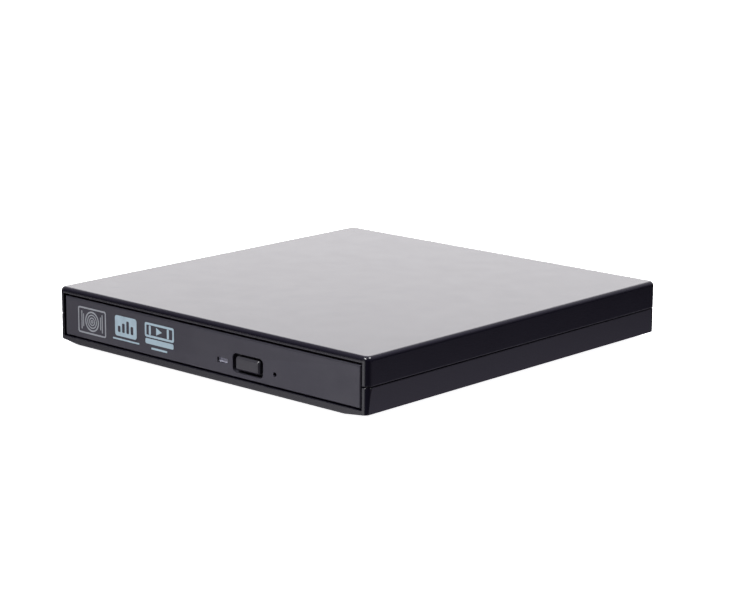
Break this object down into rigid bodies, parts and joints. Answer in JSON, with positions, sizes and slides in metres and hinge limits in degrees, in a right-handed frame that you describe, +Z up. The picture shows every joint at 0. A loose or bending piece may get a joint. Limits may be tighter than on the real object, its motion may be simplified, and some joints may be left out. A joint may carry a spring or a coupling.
{
  "type": "external optical drive",
  "caption": "Slim external disc drive: two-part black shell with a sliding tray, telescoping rails, spindle, moving pickup, eject button and rear sockets.",
  "frame": {"origin": "centre of the footprint, on the surface the rubber feet stand on", "axes": "+Z up, front face towards -Y, +X to the right as seen from the front"},
  "size_m": [0.1342, 0.14, 0.0192],
  "materials": {
    "shell_black": "satin black moulded plastic",
    "bezel_charcoal": "charcoal matte plastic",
    "tray_black": "dark moulded plastic",
    "guide_plastic": "grey-black acetal",
    "rubber_black": "matte rubber",
    "light_window": "clear smoked plastic",
    "case_steel": "zinc-plated sheet steel",
    "screw_steel": "blackened steel",
    "bright_steel": "ground steel",
    "cover_black": "matte black painted sheet",
    "board_green": "green solder mask",
    "chip_black": "moulded epoxy",
    "connector_black": "glass-filled nylon",
    "copper_winding": "enamelled windings on steel",
    "brass": "brass",
    "flex_film": "polyester flat cable",
    "sled_alloy": "die-cast alloy",
    "lens_plastic": "dark moulded plastic",
    "lens_glass": "coated moulded glass"
  },
  "bodies": {
    "enclosure": {"bridge_board": "board_green", "bridge_chips": "chip_black", "bridge_connector": "connector_black", "case_screws": "screw_steel", "connector_board": "board_green", "dc_jack": "connector_black", "dc_jack_pin": "brass", "drive_bottom_case": "case_steel", "drive_connector": "connector_black", "drive_mount_screws": "screw_steel", "drive_top_cover": "case_steel", "guide_left": "guide_plastic", "guide_right": "guide_plastic", "latch_post": "bright_steel", "lower_shell": "shell_black", "main_flex": "flex_film", "rubber_feet": "rubber_black", "shell_screws": "screw_steel", "upper_shell": "shell_black", "usb_insert": "connector_black", "usb_socket": "bright_steel"},
    "tray_unit": {"tray": "tray_black", "front_bezel": "bezel_charcoal", "led_window": "light_window", "underside_cover": "case_steel", "tray_screws": "screw_steel", "tray_board": "board_green", "tray_chips": "chip_black", "eject_switch": "chip_black", "solenoid": "copper_winding", "latch_pivot": "bright_steel", "traverse_plate": "case_steel", "traverse_cover": "cover_black", "dampers": "rubber_black", "traverse_screws": "screw_steel", "motor_base": "case_steel", "bearing_sleeve": "brass", "stator": "copper_winding", "guide_rods": "bright_steel", "sled_motor": "chip_black", "ejector_spring": "bright_steel", "pickup_flex": "flex_film"},
    "rail_left": {"rail_left": "case_steel"},
    "rail_right": {"rail_right": "case_steel"},
    "eject_button": {"eject_button": "bezel_charcoal"},
    "spindle": {"rotor": "case_steel", "spindle_shaft": "bright_steel", "hub": "tray_black", "turntable_ring": "rubber_black"},
    "claw_1": {"claw_1": "tray_black"},
    "claw_2": {"claw_2": "tray_black"},
    "claw_3": {"claw_3": "tray_black"},
    "sled": {"sled_body": "sled_alloy", "sled_cover": "cover_black"},
    "lens": {"lens_holder": "lens_plastic", "objective_lens": "lens_glass"},
    "lead_screw": {"lead_screw": "bright_steel"},
    "latch_lever": {"latch_lever": "tray_black"},
    "solenoid_plunger": {"solenoid_plunger": "bright_steel"},
    "ejector_plunger": {"ejector_plunger": "tray_black"}
  },
  "joints": [
    {"name": "tray_slide", "type": "slide", "parent": "enclosure", "child": "tray_unit", "axis": [0, -1, 0], "range_m": [0, 0.128], "deforming": ["main_flex"]},
    {"name": "rail_left_slide", "type": "slide", "parent": "enclosure", "child": "rail_left", "axis": [0, -1, 0], "range_m": [0, 0.064]},
    {"name": "rail_right_slide", "type": "slide", "parent": "enclosure", "child": "rail_right", "axis": [0, -1, 0], "range_m": [0, 0.064]},
    {"name": "eject_button_press", "type": "slide", "parent": "tray_unit", "child": "eject_button", "axis": [0, 1, 0], "range_m": [0, 0.0005], "stiffness_N_per_m": 600},
    {"name": "spindle_spin", "type": "hinge", "parent": "tray_unit", "child": "spindle", "pos_m": [0, -0.0045, 0.0119], "axis": [0, 0, 1], "continuous": true},
    {"name": "sled_travel", "type": "slide", "parent": "tray_unit", "child": "sled", "axis": [-0.6691, 0.7431, 0], "range_m": [0, 0.032], "deforming": ["pickup_flex"]},
    {"name": "lens_focus", "type": "slide", "parent": "sled", "child": "lens", "axis": [0, 0, 1], "range_m": [-0.0004, 0.0004], "stiffness_N_per_m": 80},
    {"name": "lead_screw_spin", "type": "hinge", "parent": "tray_unit", "child": "lead_screw", "pos_m": [-0.00893, 0.03321, 0.0082], "axis": [-0.6691, 0.7431, 0], "range_deg": [0, 3900]},
    {"name": "latch_swing", "type": "hinge", "parent": "tray_unit", "child": "latch_lever", "pos_m": [0.0505, -0.0623, 0.0072], "axis": [0, 0, 1], "range_deg": [0, 8], "stiffness_Nm_per_rad": 0.004},
    {"name": "solenoid_pull", "type": "slide", "parent": "tray_unit", "child": "solenoid_plunger", "axis": [0, -1, 0], "range_m": [0, 0.00174]},
    {"name": "ejector_push", "type": "slide", "parent": "tray_unit", "child": "ejector_plunger", "axis": [0, 1, 0], "range_m": [0, 0.012], "deforming": ["ejector_spring"]},
    {"name": "claw_1_press", "type": "slide", "parent": "spindle", "child": "claw_1", "axis": [0, -1, 0], "range_m": [0, 0.0005], "stiffness_N_per_m": 300},
    {"name": "claw_2_press", "type": "slide", "parent": "spindle", "child": "claw_2", "axis": [0.866, 0.5, 0], "range_m": [0, 0.0005], "stiffness_N_per_m": 300},
    {"name": "claw_3_press", "type": "slide", "parent": "spindle", "child": "claw_3", "axis": [-0.866, 0.5, 0], "range_m": [0, 0.0005], "stiffness_N_per_m": 300}
  ],
  "couplings": [
    {"joint": "rail_left_slide", "follows": "tray_slide", "ratio": 0.5},
    {"joint": "rail_right_slide", "follows": "tray_slide", "ratio": 0.5},
    {"joint": "lead_screw_spin", "follows": "sled_travel", "rad_per_m": 2094.4},
    {"joint": "latch_swing", "follows": "solenoid_pull", "rad_per_m": 80.23},
    {"joint": "ejector_push", "follows": "tray_slide", "ratio": 0.09}
  ]
}
